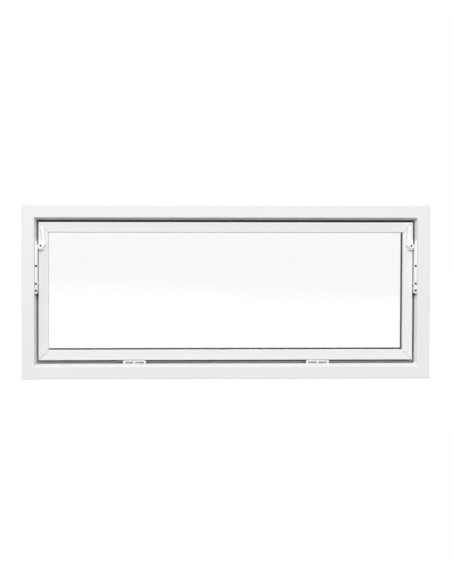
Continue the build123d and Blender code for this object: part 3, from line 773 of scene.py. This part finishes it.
@dataclass
class Glazing:
    """Insulating glass with its spacer, sealant and packers, and the rubber round it."""

    palette: Palette
    lip_rise: float = 0.9 * MM
    # Share of the gasket's depth that the lip's round takes, and half the seal bulb's share of its width
    lip_share: float = 0.8
    bulb_half: float = 0.4
    seal_foot: float = 0.4 * MM
    spacer_round: float = 1.0 * MM
    # The spacer strip is made wider along the bottom and the right than along the top and the left,
    # so it shows as a darker line there
    spacer_shows: tuple[float, float, float, float] = (0.0, 2.6 * MM, 3.4 * MM, 0.3 * MM)
    round_steps: int = 8

    def gasket_profile(
        self, depth: tuple[float, float], width: float, towards_room: bool
    ) -> list[tuple[float, float]]:
        """Outline a glazing gasket with a rounded lip that bears on the glass.

        Args:
            depth: Lowest and highest Y.
            width: Width from the outer to the inner edge.
            towards_room: Whether the lip's round shoulder faces the room.

        Returns:
            Profile points as (share of the width, Y).
        """
        low, high = depth
        face, glass = (low, high) if towards_room else (high, low)
        lip = []
        for step in range(self.round_steps + 1):
            angle = step / self.round_steps * math.pi / 2
            share = 1 - self.lip_rise / width * (1 - math.sin(angle))
            lip.append((share, face + (glass - face) * (1 - math.cos(angle)) * self.lip_share))
        return [(0.0, glass), (0.0, face)] + lip + [(1.0, glass)]

    def seal_profile(self, front: float, back: float) -> list[tuple[float, float]]:
        """Outline the frame seal: a flat foot on the lip and a bulb that the closed sash presses.

        Args:
            front: Y of the bulb's crest.
            back: Y of the foot's underside.

        Returns:
            Profile points as (share of the width, Y).
        """
        foot = back - self.seal_foot
        bulb = []
        for step in range(self.round_steps + 1):
            angle = step / self.round_steps * math.pi
            bulb.append((0.5 - self.bulb_half * math.cos(angle), foot + (front - foot) * math.sin(angle)))
        return [(0.0, back), (0.0, foot)] + bulb + [(1.0, foot), (1.0, back)]

    def spacer_profile(self, front: float, back: float, width: float) -> list[tuple[float, float]]:
        """Outline the spacer strip, with its two edges in the cavity rounded off.

        Args:
            front: Y of the side on the inner pane.
            back: Y of the side on the outer pane.
            width: Width from the outer to the inner edge.

        Returns:
            Profile points as (share of the width, Y).
        """
        turned = []
        for step in range(self.round_steps + 1):
            angle = step / self.round_steps * math.pi / 2
            share = 1 - self.spacer_round / width * (1 - math.sin(angle))
            turned.append((share, self.spacer_round * (1 - math.cos(angle))))
        near = [(share, front + y) for share, y in turned]
        far = [(share, back - y) for share, y in reversed(turned)]
        return [(0.0, front)] + near + far + [(0.0, back)]

    def build(self, frame: dict[str, Any]) -> None:
        """Make the rubber and the spacer, and dress the glass, sealant and packers.

        Args:
            frame: Loaded frame.
        """
        nodes = frame["nodes"]
        for name, towards_room in (("front_glazing_gasket", True), ("rear_glazing_gasket", False)):
            low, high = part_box(name)
            width = self.ring_width(name)
            profile = self.gasket_profile((low.y, high.y), width, towards_room)
            self.ring(f"{name}_lip", name, profile, [width] * 4, "sash", self.palette.rubber)
        low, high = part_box("frame_seal")
        profile = self.seal_profile(low.y, high.y)
        width = self.ring_width("frame_seal")
        self.ring("frame_seal_bulb", "frame_seal", profile, [width] * 4, "frame", self.palette.rubber)
        low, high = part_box("spacer_bar")
        width = self.ring_width("spacer_bar")
        profile = self.spacer_profile(low.y, high.y, width)
        widths = [width + more for more in self.spacer_shows]
        self.ring("spacer_strip", "spacer_bar", profile, widths, "sash", self.palette.spacer)
        for name in ("inner_pane", "outer_pane"):
            self.palette.dress(nodes[name], self.palette.glass)
        self.palette.dress(nodes["edge_sealant"], self.palette.sealant)
        self.palette.dress(nodes["setting_blocks"], self.palette.packer)

    def ring(
        self,
        name: str,
        node: str,
        profile: list[tuple[float, float]],
        widths: list[float],
        body: str,
        finish: Finish,
    ) -> None:
        """Make one ring that replaces a node.

        Args:
            name: Name of the ring.
            node: Node that it stands for.
            profile: Points as (share of the width, Y).
            widths: Widths on the left, right, bottom and top.
            body: Body that carries the ring.
            finish: Finish of the ring.
        """
        outer = outer_edge(node)
        mesh = mitred_ring(name, profile, outer, outer.inside(*widths))
        slot = "spacer" if finish is self.palette.spacer else "seal_rubber"
        self.palette.dress(new_piece(name, mesh, body, slot, node), finish)

    @staticmethod
    def ring_width(name: str) -> float:
        """Measure the width of a ring node.

        Args:
            name: Name of the node.

        Returns:
            Distance from the outer to the inner edge.
        """
        edge = outer_edge(name).left
        beyond = edge + EDGE_TOLERANCE
        inner = min(v.co.x for v in bpy.data.objects[name].data.vertices if v.co.x > beyond)
        return inner - edge


@dataclass
class Hardware:
    """Hinges, stays and cranked levers."""

    palette: Palette

    def dress(self, frame: dict[str, Any]) -> None:
        """Give the coated hardware its powder, the working steel its zinc and the buffers their rubber.

        Args:
            frame: Loaded frame.
        """
        nodes = frame["nodes"]
        finishes = {
            "hinge_frame_leaf": self.palette.powder,
            # The sash's hinge leaves get the powder painted darker, as painted shade
            "hinge_sash_leaf": self.palette.shaded_powder,
            "hinge_pin": self.palette.powder,
            "stay_plate": self.palette.powder,
            "stay_arm": self.palette.powder,
            "stay_bracket": self.palette.powder,
            "crank_lever": self.palette.powder,
            "stay_slide_stud": self.palette.zinc,
            "stay_pivot_pin": self.palette.zinc,
            "crank_spindle": self.palette.screw,
            "stay_buffer": self.palette.rubber,
        }
        for hand in HANDS:
            for name, finish in finishes.items():
                self.palette.dress(nodes[f"{hand}_{name}"], finish)

    def screws(self, frame: dict[str, Any]) -> None:
        """Set cross-recessed screws in the hinges, stay plates and brackets.

        Args:
            frame: Loaded frame.
        """
        up, down, room = (0, 0, 1), (0, 0, -1), (0, -1, 0)
        dark, white = self.palette.screw, self.palette.powder
        groups = (
            ScrewGroup("hinge_frame_screws", "frame", up, 8 * MM, dark, "dark_screws"),
            ScrewGroup("hinge_sash_screws", "sash", down, 8 * MM, dark, "dark_screws"),
            ScrewGroup("stay_plate_screws", "frame", room, 14 * MM, dark, "dark_screws"),
            ScrewGroup("stay_bracket_screws", "sash", room, 7 * MM, white, "white_hardware"),
        )
        screws = ScrewSet(self.palette)
        tree = screws.tree()
        for group in groups:
            screws.place(group, frame, tree)


@dataclass(frozen=True)
class Sun:
    """Soft distant light, with its angles in degrees; a negative azimuth brings it from the left."""

    name: str
    strength: float
    elevation: float
    azimuth: float
    softness: float = 40.0

    def build(self) -> None:
        """Add the lamp to the scene."""
        data = bpy.data.lights.new(self.name, "SUN")
        data.energy = self.strength
        data.angle = math.radians(self.softness)
        lamp = bpy.data.objects.new(self.name, data)
        lamp.rotation_euler = (math.radians(90 - self.elevation), 0.0, math.radians(self.azimuth))
        bpy.context.scene.collection.objects.link(lamp)


@dataclass(frozen=True)
class Panel:
    """Weak soft panel close to the window, with its power in watts, which the eye doesn't see."""

    name: str
    power: float
    width: float
    height: float
    place: tuple[float, float, float]

    def build(self, target: Vector) -> None:
        """Add the lamp to the scene.

        Args:
            target: Point that the panel faces.
        """
        data = bpy.data.lights.new(self.name, "AREA")
        data.shape = "RECTANGLE"
        data.energy = self.power
        data.size, data.size_y = self.width, self.height
        lamp = bpy.data.objects.new(self.name, data)
        lamp.location = self.place
        lamp.rotation_euler = (target - lamp.location).to_track_quat("-Z", "Y").to_euler()
        lamp.visible_camera = False
        bpy.context.scene.collection.objects.link(lamp)


@dataclass
class Studio:
    """Camera, light, floor and white surroundings.

    The lens and the sensor are in millimetres, and the camera's aim and roll in degrees.
    """

    lens: float = 168.95
    sensor: float = 36.0
    distance: float = 8.0
    camera_left: float = 0.559
    camera_above: float = 0.489
    aimed_right: float = 3.982
    aimed_down: float = 3.486
    rolled: float = 0.2055
    suns: tuple[Sun, ...] = (
        Sun("front_sun", 2.12, 25.0, 0.0),
        Sun("left_sun", 0.55, 20.0, -65.0, 15.0),
        Sun("back_sun", 2.0, 12.0, 155.0, 20.0),
    )
    panels: tuple[Panel, ...] = (
        Panel("left_panel", 0.35, 0.6, 0.6, (-1.1, -0.5, 0.5)),
        Panel("top_panel", 1.25, 1.4, 0.2, (0.0, -0.28, 1.05)),
    )
    floor_size: float = 40.0
    floor_colour: str = "#585858"
    floor_glow: float = 0.945
    fill: float = 0.36

    def camera(self, low: Vector, high: Vector) -> None:
        """Stand the camera in front of the window, to the left of and above its middle.

        Args:
            low: Lowest corner of the window.
            high: Highest corner of the window.
        """
        centre = (low + high) / 2
        data = bpy.data.cameras.new("photo_camera")
        data.lens, data.sensor_width = self.lens, self.sensor
        camera = bpy.data.objects.new("photo_camera", data)
        camera.location = (centre.x - self.camera_left, low.y - self.distance, centre.z + self.camera_above)
        level = Matrix.Rotation(math.radians(90 - self.aimed_down), 4, "X")
        turn = Matrix.Rotation(math.radians(-self.aimed_right), 4, "Z")
        roll = Matrix.Rotation(math.radians(self.rolled), 4, "Z")
        camera.rotation_euler = (turn @ level @ roll).to_euler()
        bpy.context.scene.collection.objects.link(camera)
        bpy.context.scene.camera = camera

    def lights(self, target: Vector) -> None:
        """Set the soft suns in front, to the left and behind, and the weak panels at the left and above.

        Args:
            target: Point that the panels face.
        """
        for sun in self.suns:
            sun.build()
        for panel in self.panels:
            panel.build(target)

    def world(self) -> None:
        """Surround the window with white for the eye, which adds a weaker light from every side."""
        world = bpy.data.worlds.new("white_surround")
        bpy.context.scene.world = world
        world.use_nodes = True
        tree = world.node_tree
        background = tree.nodes["Background"]
        background.inputs["Color"].default_value = (1, 1, 1, 1)
        strength = add_node(
            tree,
            "ShaderNodeMapRange",
            {"To Min": self.fill, "To Max": 1.0},
            {"Value": self.seen_directly(tree)},
        )
        tree.links.new(strength.outputs["Result"], background.inputs["Strength"])

    @staticmethod
    def seen_directly(tree: bpy.types.NodeTree) -> bpy.types.NodeSocket:
        """Tell what the eye sees from what only lights the window.

        Args:
            tree: Node tree of the world or a material.

        Returns:
            Socket that is 1 for rays from the eye, also off gloss and through glass, and else 0.
        """
        path = add_node(tree, "ShaderNodeLightPath")
        either = path.outputs["Is Camera Ray"]
        for name in ("Is Glossy Ray", "Is Transmission Ray"):
            either = add_node(
                tree, "ShaderNodeMath", links={0: either, 1: path.outputs[name]}, operation="MAXIMUM"
            ).outputs[0]
        return either

    def floor(self) -> None:
        """Lay a pale floor that the eye sees white, with the window's faint shadow on it."""
        half = self.floor_size / 2
        mesh = bpy.data.meshes.new("studio_floor")
        corners = [(-half, -half, 0), (half, -half, 0), (half, half, 0), (-half, half, 0)]
        mesh.from_pydata(corners, [], [(0, 1, 2, 3)])
        floor = bpy.data.objects.new("studio_floor", mesh)
        bpy.context.scene.collection.objects.link(floor)
        material = bpy.data.materials.new("pale_studio_floor")
        material.use_nodes = True
        tree = material.node_tree
        tree.nodes.remove(tree.nodes["Principled BSDF"])
        glow = add_node(
            tree,
            "ShaderNodeMapRange",
            {"To Min": 0.0, "To Max": self.floor_glow},
            {"Value": self.seen_directly(tree)},
        )
        white = add_node(tree, "ShaderNodeEmission", links={"Strength": glow.outputs["Result"]})
        matt = add_node(tree, "ShaderNodeBsdfDiffuse", {"Color": linear(self.floor_colour)})
        both = add_node(tree, "ShaderNodeAddShader", links={0: white.outputs[0], 1: matt.outputs[0]})
        tree.links.new(both.outputs[0], tree.nodes["Material Output"].inputs["Surface"])
        mesh.materials.append(material)
        floor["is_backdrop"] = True

    def build(self, low: Vector, high: Vector) -> None:
        """Set up the camera, the light and the surroundings.

        Args:
            low: Lowest corner of the window.
            high: Highest corner of the window.
        """
        self.camera(low, high)
        self.lights((low + high) / 2)
        self.world()
        self.floor()
        bpy.context.scene.view_settings.view_transform = "Standard"
        LOG.info("studio ready")


def main() -> None:
    """Load the frame, measure it and build every sub-assembly in order."""
    logging.basicConfig(level=logging.INFO, format="%(name)s: %(message)s")
    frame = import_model()
    cad_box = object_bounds()
    palette = Palette()
    Studio().build(*cad_box)
    Profiles(palette).dress(frame)
    Glazing(palette).build(frame)
    hardware = Hardware(palette)
    hardware.dress(frame)
    hardware.screws(frame)


if __name__ == "__main__":
    main()
